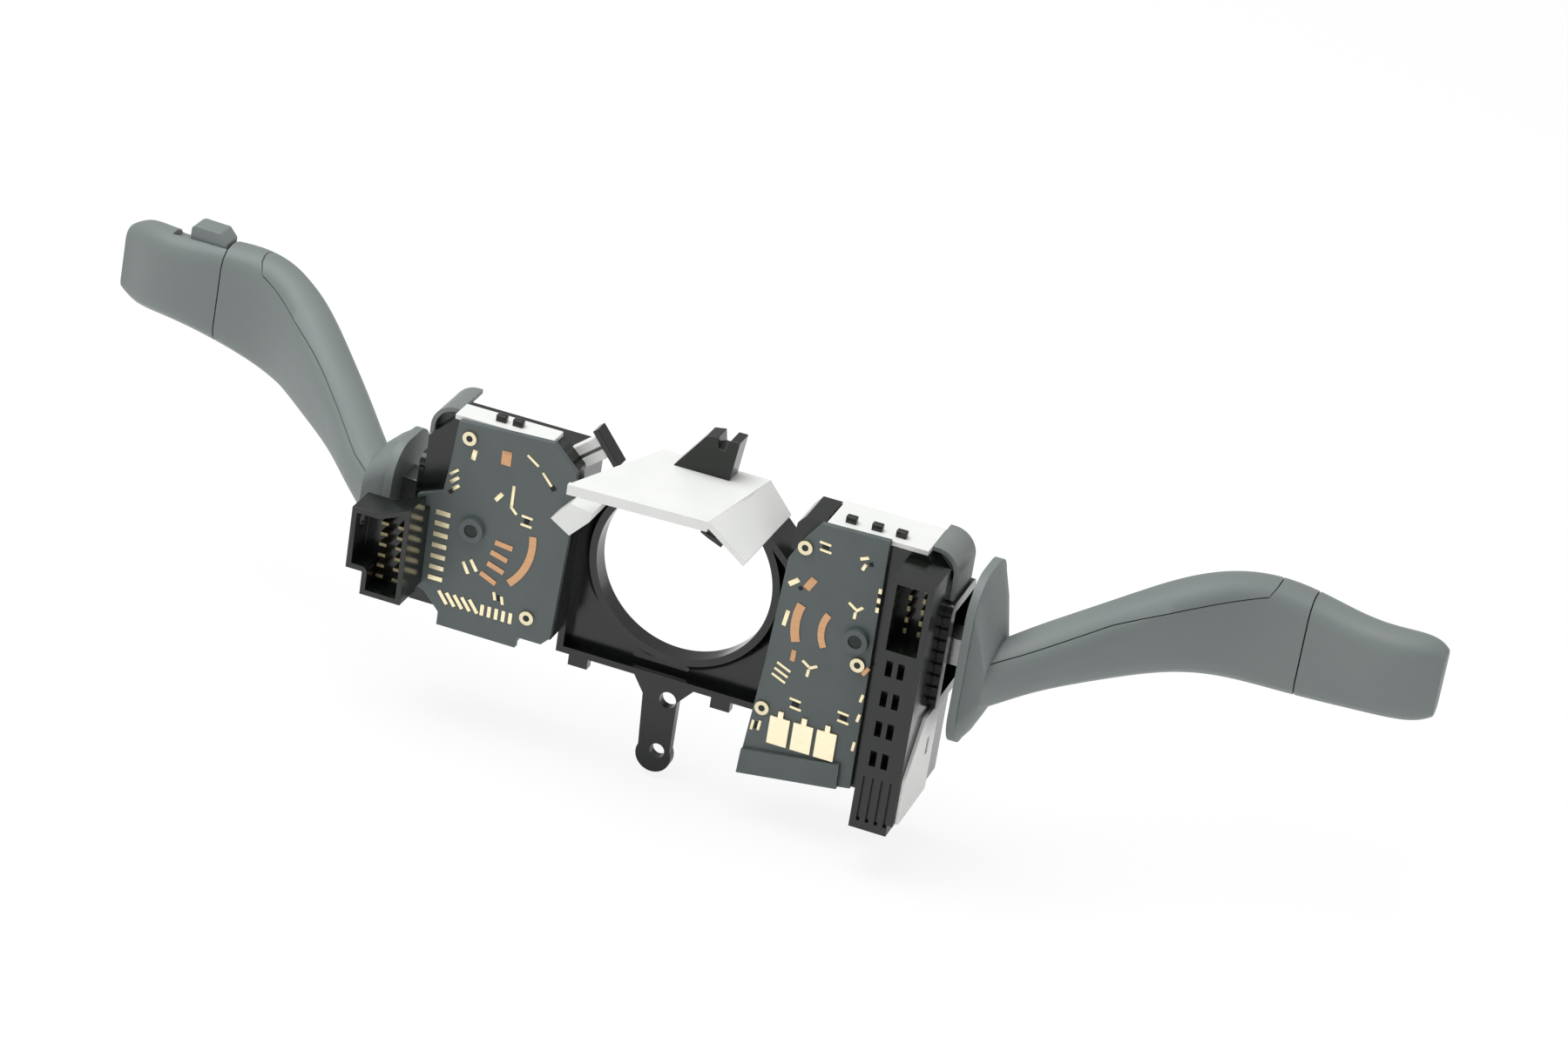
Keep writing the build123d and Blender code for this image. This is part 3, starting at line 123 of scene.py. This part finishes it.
def moulded(name, colour, shade, roughness, spread, grain_mm, height_mm, flow_mm=14.0):
    """Moulded plastic: flow mottling in colour and roughness, and the mould's grain as bump."""
    material = bpy.data.materials.new(name)
    material.use_nodes = True
    tree = material.node_tree
    place = [("Vector", add_node(tree, "ShaderNodeTexCoord").outputs["Object"])]
    flow = add_node(tree, "ShaderNodeTexNoise", place, scale=1 / (flow_mm * MM), detail=3.0)
    vary(tree, flow.outputs["Fac"], colour, shade, roughness, spread)
    grain = add_node(tree, "ShaderNodeTexNoise", place, scale=1 / (grain_mm * MM), detail=2.0)
    height = [("Height", grain.outputs["Fac"])]
    bump = add_node(tree, "ShaderNodeBump", height, distance=height_mm * MM)
    tree.links.new(bump.outputs["Normal"], tree.nodes["Principled BSDF"].inputs["Normal"])
    return material


def dress(node, material, edge_mm=0.25, sharp=32):
    """A merged copy of a CAD node that stands for it, its edges softened past the sharp angle."""
    source = frame["nodes"][node]
    mesh = source.data.copy()
    mesh.name = node + "_surface"
    shape = bmesh.new()
    shape.from_mesh(mesh)
    bmesh.ops.remove_doubles(shape, verts=shape.verts, dist=SAME_POINT)
    if edge_mm:
        bmesh.ops.dissolve_limit(
            shape, angle_limit=SAME_PLANE, verts=shape.verts, edges=shape.edges
        )
    shape.to_mesh(mesh)
    shape.free()
    if "custom_normal" in mesh.attributes:
        mesh.attributes.remove(mesh.attributes["custom_normal"])
    mesh.materials.clear()
    mesh.materials.append(material)
    piece = bpy.data.objects.new(node + "_look", mesh)
    bpy.context.scene.collection.objects.link(piece)
    mesh.shade_smooth()
    mesh.set_sharp_from_angle(angle=math.radians(sharp))
    if edge_mm:
        soften = piece.modifiers.new("mould_radius", "BEVEL")
        soften.width = edge_mm * MM
        soften.segments = 2
        soften.limit_method = "ANGLE"
        soften.angle_limit = math.radians(sharp)
        soften.use_clamp_overlap = True
        soften.harden_normals = True
        soften.miter_outer = "MITER_ARC"
    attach(piece, source["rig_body"])
    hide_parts(node)
    return piece


pbt_black = moulded("pbt_black_polished_mould", "0B0F0C", "151B17", 0.2, 0.06, 3.0, 0.02)
dress("column_carrier", pbt_black, 0.35)

# Roof guard, guide block, top covers, rear lug and side cover: the light mouldings, pale grey
# ABS with a satin finish. The guard keeps the wiring off the turning column, and the covers
# close the housings.
abs_light = moulded("abs_light_grey_satin_mould", "DADCD9", "E6E7E4", 0.34, 0.05, 2.0, 0.012)
for name in (
    "roof_guard", "guide_block", "left_top_cover", "right_top_cover", "rear_lug",
    "right_side_cover",
):
    dress(name, abs_light, 0.25)

# Clip tower, latch hook and the plate that closes the lug: black PBT mouldings round the roof
# guard, with the carrier's compound and gloss.
for name in ("clip_tower", "latch_hook", "lug_end_plate"):
    dress(name, pbt_black, 0.2)

# Contact plates: the flat fronts of both switches, into which the punched circuit is laid. They
# are slate grey PBT with a green cast, dull from the filler at the surface.
plate_slate = moulded("pbt_slate_matt_mould", "495251", "575F5F", 0.46, 0.07, 1.2, 0.02, 8.0)
for name in ("left_contact_plate", "right_contact_plate"):
    dress(name, plate_slate, 0.2)

# Housings and lever collars: the boxes behind the plates, and the frames of the mouths where
# the levers come out. They are moulded from the carrier's black compound.
for name in ("left_housing", "right_housing"):
    dress(name, pbt_black, 0.3)
for name in ("left_lever_collar", "right_lever_collar"):
    dress(name, pbt_black, 0.15)

# Lever guards: ribbed strips that lead round the upper outer corners of the housings. They are
# moulded from grey ABS with a satin finish.
guard_grey = moulded("abs_grey_ribbed_guard", "6C7270", "7B817E", 0.4, 0.05, 2.0, 0.012)
for name in ("left_lever_guard", "right_lever_guard"):
    dress(name, guard_grey, 0.15)

# Connectors: the shroud beside the left plate and the rail beside the right one, both black PBT.
# The rail keeps its sharp edges, because its slits lie close together.
dress("left_connector", pbt_black, 0.2)
dress("right_connector", pbt_black, 0.0)

# Rockers and cancelling pawl: the pieces that the stalks turn in and the one that the wheel's
# cam would push. They are white acetal mouldings, which slide without grease.
acetal_white = moulded("acetal_white_moulded", "DAD7CE", "CFCCC2", 0.38, 0.05, 1.5, 0.01)
for name in ("left_rocker", "right_rocker", "cancel_pawl"):
    dress(name, acetal_white, 0.25)

# Hinge pins, detent plungers, stalk cores and the pawl's clip: zinc plated steel, drawn, ground
# or punched. Its faint streak runs level, eight times finer upwards than across.
STREAK_FINENESS = 8.0


def metal(name, colour, shade, roughness, spread, streak_mm):
    """Bare metal with a faint rolled or drawn streak in its colour and roughness."""
    material = bpy.data.materials.new(name)
    material.use_nodes = True
    tree = material.node_tree
    tree.nodes["Principled BSDF"].inputs["Metallic"].default_value = 1.0
    place = [("Vector", add_node(tree, "ShaderNodeTexCoord").outputs["Object"])]
    level = add_node(tree, "ShaderNodeMapping", place, scale=(1.0, 1.0, STREAK_FINENESS))
    along = [("Vector", level.outputs["Vector"])]
    streak = add_node(tree, "ShaderNodeTexNoise", along, scale=1 / (streak_mm * MM), detail=2.0)
    vary(tree, streak.outputs["Fac"], colour, shade, roughness, spread)
    return material


steel = metal("steel_zinc_plated", "B9BAB8", "A3A5A4", 0.3, 0.06, 4.0)
for name in (
    "pawl_clip", "left_hinge_pin", "right_hinge_pin", "left_plunger", "right_plunger",
    "left_stalk_core", "right_stalk_core",
):
    dress(name, steel, 0.08)

# Plunger springs: drawn wire coils behind the detent plungers. Each rests in its rocker and is
# drawn at one length, though the real spring shortens as the plunger is pushed in.
for side, detent in (("left", "wiper_detent"), ("right", "turn_detent")):
    spring = dress(f"{side}_plunger_spring", steel, 0.0, 60)
    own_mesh(spring)

# Pivot pins: the ground steel pins that the rockers turn on. They have a black oxide finish, so
# they look dark in the bosses of the plates.
steel_black = metal("steel_black_oxide", "2C3130", "3A403E", 0.34, 0.06, 3.0)
dress("pivot_pins", steel_black, 0.15)

# Plate screws: steel screws that hold the plates on. Their yellow-chromated heads look like
# pale rings, each round its socket, whose dark floor is a disc of painted shade.
SCREW_PLACES = ((-64.5, 26.1), (-41.0, -23.1), (35.5, 22.8), (55.5, -7.4), (30.7, -28.8))
SOCKET_RADIUS, SOCKET_DEPTH, SOCKET_FLOOR = 1.12 * MM, 0.3 * MM, -8.82 * MM
SOCKET_TAPER = 0.86


def new_piece(name, shape, material):
    """Makes a finished shape a piece of the scene."""
    mesh = bpy.data.meshes.new(name)
    shape.to_mesh(mesh)
    shape.free()
    mesh.materials.append(material)
    piece = bpy.data.objects.new(name, mesh)
    bpy.context.scene.collection.objects.link(piece)
    return piece


screw_cream = metal("steel_yellow_chromate", "E6DCC0", "D3C6A2", 0.32, 0.06, 2.0)
for name in ("left_plate_screws", "right_plate_screws"):
    dress(name, screw_cream, 0.12)
upright_to_front = Matrix.Rotation(math.radians(90), 4, "X")
# Dark discs in the black oxide colour at the sockets' floors: painted shade in the recesses.
socket_shape = bmesh.new()
for x, z in SCREW_PLACES:
    middle = Matrix.Translation((x * MM, SOCKET_FLOOR + SOCKET_DEPTH / 2, z * MM))
    bmesh.ops.create_cone(
        socket_shape, cap_ends=True, segments=24, radius1=SOCKET_RADIUS,
        radius2=SOCKET_TAPER * SOCKET_RADIUS, depth=SOCKET_DEPTH,
        matrix=middle @ upright_to_front,
    )
sockets = new_piece("plate_screw_socket_painted_shade", socket_shape, steel_black)
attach(sockets, "switch_base")

# Contact arcs and wipers: copper alloy, punched from sheet and laid into the plates or bent to
# springs. It is warm in colour with a soft sheen.
copper = metal("copper_alloy_punched", "D0A47E", "B48C68", 0.36, 0.08, 2.5)
for name in ("left_contact_arc", "right_contact_arcs", "left_wiper_contact", "right_wiper_contact"):
    dress(name, copper, 0.05)

# Terminals: punched copper alloy with two finishes and one darkened copy. The strips of the left
# plate have a pale flash, the connectors' pins are brass drawn darker as painted shade, since they
# sit deep in the connectors, and the power pads of the right plate are tinned.
pale_flash = metal("copper_alloy_pale_flash", "FAF0D0", "E4D4A6", 0.34, 0.08, 2.5)
dress("left_contact_strips", pale_flash, 0.05)
brass_pins_painted_shade = metal("brass_pins_darkened_as_shade", "8C8468", "6F684F", 0.42, 0.08, 2.5)
for name in ("left_terminal_pins", "right_terminal_pins"):
    dress(name, brass_pins_painted_shade, 0.05)
brass_pad = metal("brass_tinned_pads", "FFF6DE", "F0E2B8", 0.36, 0.08, 3.0)
dress("right_power_pads", brass_pad, 0.12)

# Bridges: the small ends of the punched circuit that show in the plates between the contact
# tracks, pale or copper, most of them beside a window in the moulding. The windows' shade is
# painted as thin black sheets. Each row gives x, z, length and width in millimetres and a turn
# in degrees.
PLATE_FRONT = -8.0
INLAY_THICKNESS, INLAY_EDGE = 0.4, 0.08
BRIDGE_RISE, WINDOW_RISE = 0.2, 0.1


def inlay(name, bars, rise_mm, material):
    """Small bars laid in the plates, which stand proud of the plates' front by their rise."""
    shape = bmesh.new()
    level = (PLATE_FRONT - rise_mm + INLAY_THICKNESS / 2) * MM
    for x, z, length, width, turn in bars:
        verts = bmesh.ops.create_cube(shape, size=1.0)["verts"]
        size = (length * MM, INLAY_THICKNESS * MM, width * MM)
        bmesh.ops.scale(shape, vec=size, verts=verts)
        slant = Matrix.Rotation(-math.radians(turn), 3, "Y")
        bmesh.ops.rotate(shape, matrix=slant, verts=verts)
        bmesh.ops.translate(shape, vec=(x * MM, level, z * MM), verts=verts)
    bmesh.ops.bevel(
        shape, geom=shape.edges[:], offset=INLAY_EDGE * MM, segments=2, profile=0.5,
        affect="EDGES", clamp_overlap=True, material=-1,
    )
    piece = new_piece(name, shape, material)
    piece.data.shade_smooth()
    piece.data.set_sharp_from_angle(angle=math.radians(40))
    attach(piece, "switch_base")


left_bridges = [
    (-49.9, 12.4, 6.5, 0.9, 90), (-49.1, 8.2, 2.8, 0.9, -45), (-44.9, 7.3, 3.4, 0.8, -4),
    (-44.9, 4.7, 3.4, 0.8, -4), (-53.9, 11.0, 3.2, 1.3, 55), (-45.4, 24.8, 4.4, 0.8, -34),
    (-40.6, 20.4, 4.6, 0.8, -48), (-61.0, -13.4, 3.9, 1.1, -60), (-58.7, -12.0, 3.9, 1.1, -56),
    (-51.4, -19.5, 2.6, 0.9, -76), (-49.0, -20.2, 2.6, 0.9, -76), (-67.9, 14.6, 3.2, 0.8, 42),
    (-67.5, 12.3, 3.2, 1.0, 42), (-66.9, 10.1, 2.6, 1.0, 42), (-62.7, 21.4, 3.2, 1.4, 82),
]
right_bridges = [
    (40.8, 25.5, 3.4, 0.8, -5), (41.2, 23.3, 3.4, 0.8, -5), (52.3, 24.5, 2.6, 1.0, 24),
    (52.6, 21.9, 2.2, 1.0, 70), (33.2, 0.2, 5.0, 1.2, 82), (33.8, 11.6, 3.4, 1.5, 40),
    (51.2, 9.5, 2.8, 0.9, -35), (53.3, 9.1, 2.6, 0.9, 42), (52.3, 6.9, 2.2, 0.9, 88),
    (41.0, -11.8, 2.8, 0.9, -35), (43.1, -12.2, 2.8, 0.9, 30), (41.9, -14.4, 2.4, 0.9, 84),
    (34.9, -14.7, 4.6, 0.8, -24), (34.4, -16.6, 4.6, 0.8, -24), (33.9, -18.5, 4.6, 0.8, -24),
    (58.2, 16.2, 1.0, 1.6, 0), (58.2, 13.3, 1.0, 1.6, 0), (58.2, 10.4, 1.0, 1.6, 0),
    (39.7, -23.7, 3.4, 0.8, -6), (40.1, -26.2, 3.4, 0.8, -6), (53.8, -23.4, 3.4, 0.8, -6),
    (54.1, -26.0, 3.4, 0.8, -6), (28.6, -35.0, 3.2, 0.8, 84), (30.6, -34.6, 3.2, 0.8, 84),
    (58.2, -17.2, 2.6, 0.9, 78), (58.2, -23.4, 2.6, 0.9, 78), (58.2, -32.4, 3.0, 0.9, 84),
]
inlay("plate_bridges", left_bridges + right_bridges, BRIDGE_RISE, pale_flash)
copper_faces = [
    (-53.2, 23.2, 3.0, 4.4, 0), (38.5, 12.4, 4.2, 2.2, 62), (37.0, -10.4, 3.6, 1.4, 88),
    (58.0, -8.8, 3.0, 1.2, 60),
]
inlay("plate_copper_faces", copper_faces, BRIDGE_RISE, copper)
# Windows: black sheets laid on the plate openings as painted shade.
painted_window_shade = [
    (-44.9, 6.0, 1.5, 1.6, -4), (-38.6, 18.2, 1.6, 1.6, -48), (-68.2, 8.4, 1.6, 1.2, 42),
    (-50.2, -19.8, 0.9, 1.8, 14), (41.0, 24.4, 2.0, 1.2, -5), (54.4, 23.2, 1.3, 1.3, 24),
    (35.9, 10.2, 1.2, 1.2, 40), (52.3, 8.5, 1.1, 1.1, 0), (42.0, -12.7, 1.1, 1.1, 0),
    (39.9, -24.9, 2.2, 1.5, -6), (54.0, -24.7, 2.2, 1.5, -6), (29.6, -34.8, 2.4, 0.7, 84),
    (58.2, 14.7, 1.0, 1.2, 0), (58.2, 11.8, 1.0, 1.2, 0),
]
window_shade_paint = moulded("painted_shade_black_windows", "050605", "090B09", 0.7, 0.05, 3.0, 0.01)
inlay("plate_window_painted_shade", painted_window_shade, WINDOW_RISE, window_shade_paint)

# Cover catches: the black latch noses of the housings that come up through the top covers and
# hold them. They are moulded with the housings, in the same black PBT.
CATCH_PLACES = (-58.0, -53.0, 45.5, 53.0, 60.0)
CATCH_ROW, CATCH_HEIGHT = -2.4, 31.9
CATCH_LENGTH, CATCH_DEPTH, CATCH_RISE, CATCH_EDGE = 3.1, 2.1, 2.2, 0.3
catch_shape = bmesh.new()
for x in CATCH_PLACES:
    verts = bmesh.ops.create_cube(catch_shape, size=1.0)["verts"]
    size = (CATCH_LENGTH * MM, CATCH_DEPTH * MM, CATCH_RISE * MM)
    bmesh.ops.scale(catch_shape, vec=size, verts=verts)
    middle = (x * MM, CATCH_ROW * MM, CATCH_HEIGHT * MM)
    bmesh.ops.translate(catch_shape, vec=middle, verts=verts)
bmesh.ops.bevel(
    catch_shape, geom=catch_shape.edges[:], offset=CATCH_EDGE * MM, segments=3, profile=0.5,
    affect="EDGES", clamp_overlap=True, material=-1,
)
catches = new_piece("cover_catches", catch_shape, pbt_black)
catches.data.shade_smooth()
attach(catches, "switch_base")

# Stalks: the domed feet, hollow shells, end caps and the thumb slider, moulded from a mid grey
# polypropylene blend with the fine spark-eroded grain of interior trim. The real grain is about
# 0.1 mm and is drawn at 0.6 mm so that it shows.
stalk_grey = moulded("pp_grey_spark_grain", "6E7675", "78807E", 0.54, 0.04, 0.6, 0.02, 30.0)
for side in ("left", "right"):
    dress(f"{side}_dome", stalk_grey, 0.5, 58)
    for name in ("upper_shell", "lower_shell", "end_cap"):
        dress(f"{side}_{name}", stalk_grey, 0.2, 40)
dress("thumb_slider", stalk_grey, 0.5, 30)

# Floor: a plain white paper sheet just below the switch. It is seen almost as white as the
# surround, so that only a trace of the switch's shadow is left on it.
FLOOR_REACH, FLOOR_GAP = 6.0, 0.002
FLOOR_SEEN_WHITE = 0.86
paper = bpy.data.materials.new("paper_white_floor")
paper.use_nodes = True
paper_tree = paper.node_tree
sheet = paper_tree.nodes["Principled BSDF"]
sheet.inputs["Base Color"].default_value = srgb("FFFFFF")
sheet.inputs["Roughness"].default_value = 1.0
sheet.inputs["Specular IOR Level"].default_value = 0.0
rays = add_node(paper_tree, "ShaderNodeLightPath")
seen = [("Value", rays.outputs["Is Camera Ray"])]
amount = add_node(paper_tree, "ShaderNodeMapRange", seen, to_max=FLOOR_SEEN_WHITE)
white = add_node(paper_tree, "ShaderNodeEmission", color=srgb("FFFFFF"))
blend = add_node(paper_tree, "ShaderNodeMixShader", [
    (0, amount.outputs["Result"]), (1, sheet.outputs["BSDF"]), (2, white.outputs["Emission"]),
])
surface = paper_tree.nodes["Material Output"].inputs["Surface"]
paper_tree.links.new(blend.outputs["Shader"], surface)
floor_shape = bmesh.new()
bmesh.ops.create_grid(floor_shape, x_segments=1, y_segments=1, size=FLOOR_REACH)
bmesh.ops.translate(floor_shape, vec=(0, 0, cad_low.z - FLOOR_GAP), verts=floor_shape.verts)
floor = new_piece("floor", floor_shape, paper)

# Studio: a white surround that is seen at full strength and lights the switch more softly, and
# one broad lamp above it.
SURROUND_LIGHT, SURROUND_SEEN = 0.48, 1.0
world = bpy.data.worlds.new("studio")
bpy.context.scene.world = world
world.use_nodes = True
studio_tree = world.node_tree
studio_tree.nodes.clear()
rays = add_node(studio_tree, "ShaderNodeLightPath")
seen = [("Value", rays.outputs["Is Camera Ray"])]
strength = add_node(
    studio_tree, "ShaderNodeMapRange", seen, to_min=SURROUND_LIGHT, to_max=SURROUND_SEEN
)
glow = [("Strength", strength.outputs["Result"])]
surround = add_node(studio_tree, "ShaderNodeBackground", glow, color=srgb("FFFFFF"))
add_node(studio_tree, "ShaderNodeOutputWorld", [("Surface", surround.outputs["Background"])])

lamp_data = bpy.data.lights.new("overhead_softbox", "AREA")
lamp_data.energy = 19.0
lamp_data.size = 1.2
lamp = bpy.data.objects.new("overhead_softbox", lamp_data)
bpy.context.scene.collection.objects.link(lamp)
lamp.location = (-0.3, -0.12, 1.3)
lamp.rotation_mode = "QUATERNION"
lamp.rotation_quaternion = (-lamp.location).to_track_quat("-Z", "Y")

# Camera: above and to the right of the switch's front, as far off as the photo's perspective
# asks and rolled as the photo is.
AZIMUTH, ELEVATION, ROLL = math.radians(15.5), math.radians(26.0), math.radians(9.3)
DISTANCE = 1.3
AIM = Vector((0.0220, 0.0145, 0.0167))
level_reach = math.cos(ELEVATION)
back = Vector((
    math.sin(AZIMUTH) * level_reach, -math.cos(AZIMUTH) * level_reach, math.sin(ELEVATION)
))
camera_data = bpy.data.cameras.new("camera")
camera_data.sensor_width = 36.0
camera_data.lens = 107.64
camera_data.clip_start = 0.05
camera = bpy.data.objects.new("camera", camera_data)
bpy.context.scene.collection.objects.link(camera)
camera.location = AIM + back * DISTANCE
camera.rotation_mode = "QUATERNION"
camera.rotation_quaternion = (-back).to_track_quat("-Z", "Y") @ Quaternion((0, 0, 1), ROLL)
bpy.context.scene.camera = camera
bpy.context.scene.view_settings.view_transform = "Standard"
